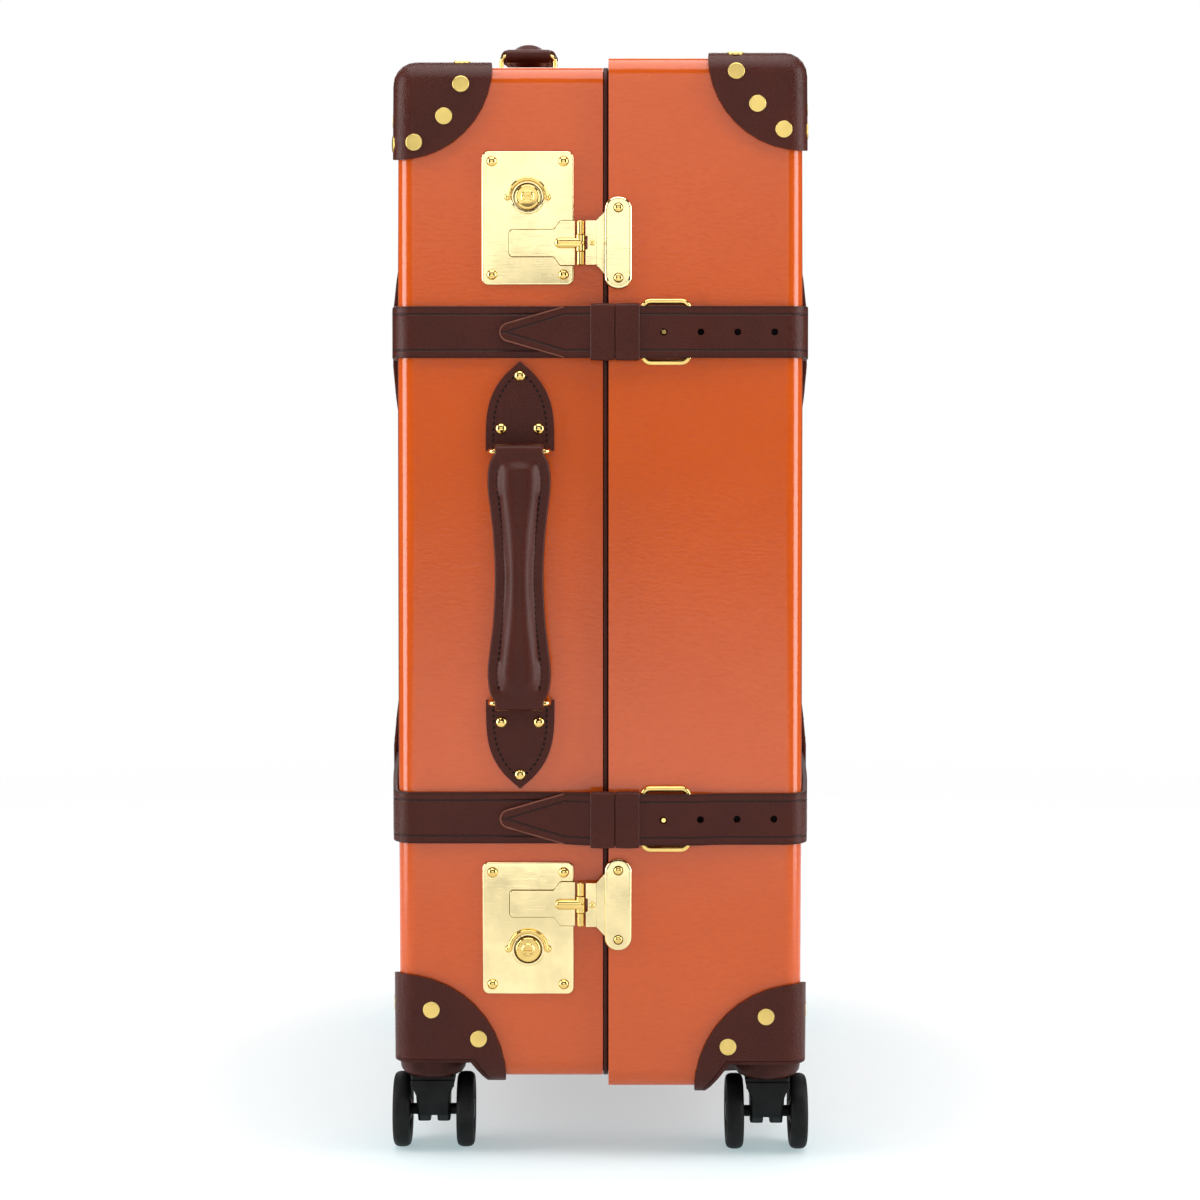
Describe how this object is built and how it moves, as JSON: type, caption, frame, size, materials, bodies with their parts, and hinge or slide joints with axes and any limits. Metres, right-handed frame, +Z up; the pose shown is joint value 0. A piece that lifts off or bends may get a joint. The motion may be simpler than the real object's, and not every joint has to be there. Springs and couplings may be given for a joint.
{
  "type": "wheeled suitcase",
  "caption": "Upright wheeled suitcase: crowned fibreboard base and hinged lid with leather corners, buckled straps, hasp locks, carry handles and swivel casters.",
  "frame": {"origin": "on the floor under the middle of the outer box", "axes": "+X from the base half to the lid half, +Y from the opening side to the hinges, +Z up"},
  "size_m": [0.324, 0.5486, 0.8025],
  "materials": {
    "fibreboard": "orange lacquered vulcanised fibreboard, glossy",
    "leather": "dark brown bridle leather, waxed",
    "brass": "polished pale brass",
    "steel": "satin steel",
    "black_plastic": "black moulded nylon",
    "wheel_rubber": "black wheel rubber"
  },
  "bodies": {
    "base": {"base_shell": "fibreboard", "base_top_corner_front": "leather", "base_wheel_corner_front": "leather", "base_wheel_cup_front": "leather", "base_top_corner_rear": "leather", "base_wheel_corner_rear": "leather", "base_wheel_cup_rear": "leather", "upper_strap_base": "leather", "upper_keeper_base": "leather", "upper_hinge_base_leaf": "brass", "lower_strap_base": "leather", "lower_keeper_base": "leather", "lower_hinge_base_leaf": "brass", "base_rim": "leather", "trolley_bezel": "black_plastic", "upper_lock_plate": "brass", "side_handle_patch_upper": "leather", "lower_lock_plate": "brass", "side_handle_patch_lower": "leather", "top_handle_patch_front": "leather", "top_handle_patch_rear": "leather"},
    "lid": {"lid_shell": "fibreboard", "lid_top_corner_front": "leather", "lid_wheel_corner_front": "leather", "lid_wheel_cup_front": "leather", "lid_top_corner_rear": "leather", "lid_wheel_corner_rear": "leather", "lid_wheel_cup_rear": "leather", "upper_strap_lid": "leather", "upper_keeper_lid": "leather", "upper_hinge_lid_leaf": "brass", "lower_strap_lid": "leather", "lower_keeper_lid": "leather", "lower_hinge_lid_leaf": "brass", "upper_strike_plate": "brass", "upper_buckle": "brass", "upper_strap_loops": "leather", "lower_strike_plate": "brass", "lower_buckle": "brass", "lower_strap_loops": "leather"},
    "base_caster_front": {"base_caster_fork_front": "black_plastic"},
    "base_wheels_front": {"base_wheel_pair_front": "wheel_rubber"},
    "base_caster_rear": {"base_caster_fork_rear": "black_plastic"},
    "base_wheels_rear": {"base_wheel_pair_rear": "wheel_rubber"},
    "lid_caster_front": {"lid_caster_fork_front": "black_plastic"},
    "lid_wheels_front": {"lid_wheel_pair_front": "wheel_rubber"},
    "lid_caster_rear": {"lid_caster_fork_rear": "black_plastic"},
    "lid_wheels_rear": {"lid_wheel_pair_rear": "wheel_rubber"},
    "upper_hasp": {"upper_hasp_leaf": "brass"},
    "upper_key": {"upper_key_cylinder": "brass"},
    "side_ring_upper": {"side_handle_ring_upper": "brass"},
    "lower_hasp": {"lower_hasp_leaf": "brass"},
    "lower_key": {"lower_key_cylinder": "brass"},
    "side_ring_lower": {"side_handle_ring_lower": "brass"},
    "top_ring_front": {"top_handle_ring_front": "brass"},
    "top_ring_rear": {"top_handle_ring_rear": "brass"},
    "side_grip": {"side_handle_grip": "leather"},
    "top_grip": {"top_handle_grip": "leather"},
    "pull_handle": {"pull_handle": "black_plastic"},
    "release_button": {"release_button": "steel"}
  },
  "joints": [
    {"name": "lid_hinge", "type": "hinge", "parent": "base", "child": "lid", "pos_m": [0.004, 0.26517, 0.41425], "axis": [0, 0, 1], "range_deg": [0, 105]},
    {"name": "base_caster_front_swivel", "type": "hinge", "parent": "base", "child": "base_caster_front", "pos_m": [-0.119, -0.21433, 0.0562], "axis": [0, 0, 1], "continuous": true},
    {"name": "base_wheels_front_roll", "type": "hinge", "parent": "base_caster_front", "child": "base_wheels_front", "pos_m": [-0.119, -0.20033, 0.02667], "axis": [1, 0, 0], "continuous": true},
    {"name": "base_caster_rear_swivel", "type": "hinge", "parent": "base", "child": "base_caster_rear", "pos_m": [-0.119, 0.22767, 0.0562], "axis": [0, 0, 1], "continuous": true},
    {"name": "base_wheels_rear_roll", "type": "hinge", "parent": "base_caster_rear", "child": "base_wheels_rear", "pos_m": [-0.119, 0.24167, 0.02667], "axis": [1, 0, 0], "continuous": true},
    {"name": "lid_caster_front_swivel", "type": "hinge", "parent": "lid", "child": "lid_caster_front", "pos_m": [0.119, -0.22033, 0.0562], "axis": [0, 0, 1], "continuous": true},
    {"name": "lid_wheels_front_roll", "type": "hinge", "parent": "lid_caster_front", "child": "lid_wheels_front", "pos_m": [0.119, -0.20633, 0.02667], "axis": [1, 0, 0], "continuous": true},
    {"name": "lid_caster_rear_swivel", "type": "hinge", "parent": "lid", "child": "lid_caster_rear", "pos_m": [0.119, 0.23367, 0.0562], "axis": [0, 0, 1], "continuous": true},
    {"name": "lid_wheels_rear_roll", "type": "hinge", "parent": "lid_caster_rear", "child": "lid_wheels_rear", "pos_m": [0.119, 0.24767, 0.02667], "axis": [1, 0, 0], "continuous": true},
    {"name": "upper_hasp_swing", "type": "hinge", "parent": "lid", "child": "upper_hasp", "pos_m": [-0.0134, -0.24813, 0.6465], "axis": [0, 0, 1], "range_deg": [0, 110]},
    {"name": "upper_key_turn", "type": "hinge", "parent": "base", "child": "upper_key", "pos_m": [-0.0505, -0.24493, 0.6785], "axis": [0, -1, 0], "range_deg": [0, 90]},
    {"name": "lower_hasp_swing", "type": "hinge", "parent": "lid", "child": "lower_hasp", "pos_m": [-0.0134, -0.24813, 0.183], "axis": [0, 0, 1], "range_deg": [0, 110]},
    {"name": "lower_key_turn", "type": "hinge", "parent": "base", "child": "lower_key", "pos_m": [-0.0505, -0.24493, 0.151], "axis": [0, -1, 0], "range_deg": [0, 90]},
    {"name": "side_handle_swing", "type": "hinge", "parent": "base", "child": "side_ring_upper", "pos_m": [-0.056, -0.24683, 0.5015], "axis": [1, 0, 0], "range_deg": [-40, 40]},
    {"name": "side_lower_ring_swing", "type": "hinge", "parent": "base", "child": "side_ring_lower", "pos_m": [-0.056, -0.24683, 0.3265], "axis": [1, 0, 0], "range_deg": [-40, 40]},
    {"name": "side_grip_pivot", "type": "hinge", "parent": "side_ring_upper", "child": "side_grip", "pos_m": [-0.056, -0.26733, 0.5015], "axis": [1, 0, 0], "range_deg": [-40, 40]},
    {"name": "top_handle_swing", "type": "hinge", "parent": "base", "child": "top_ring_front", "pos_m": [-0.054, -0.08083, 0.775], "axis": [1, 0, 0], "range_deg": [-40, 40]},
    {"name": "top_rear_ring_swing", "type": "hinge", "parent": "base", "child": "top_ring_rear", "pos_m": [-0.054, 0.09417, 0.775], "axis": [1, 0, 0], "range_deg": [-40, 40]},
    {"name": "top_grip_pivot", "type": "hinge", "parent": "top_ring_front", "child": "top_grip", "pos_m": [-0.054, -0.08083, 0.7955], "axis": [1, 0, 0], "range_deg": [-40, 40]},
    {"name": "pull_handle_slide", "type": "slide", "parent": "base", "child": "pull_handle", "axis": [0, 0, 1], "range_m": [0, 0.4]},
    {"name": "release_button_press", "type": "slide", "parent": "pull_handle", "child": "release_button", "axis": [0, 0, -1], "range_m": [0, 0.0025], "stiffness_N_per_m": 400}
  ],
  "couplings": [
    {"joint": "side_lower_ring_swing", "follows": "side_handle_swing", "ratio": 1},
    {"joint": "side_grip_pivot", "follows": "side_handle_swing", "ratio": -1},
    {"joint": "top_rear_ring_swing", "follows": "top_handle_swing", "ratio": 1},
    {"joint": "top_grip_pivot", "follows": "top_handle_swing", "ratio": -1}
  ]
}
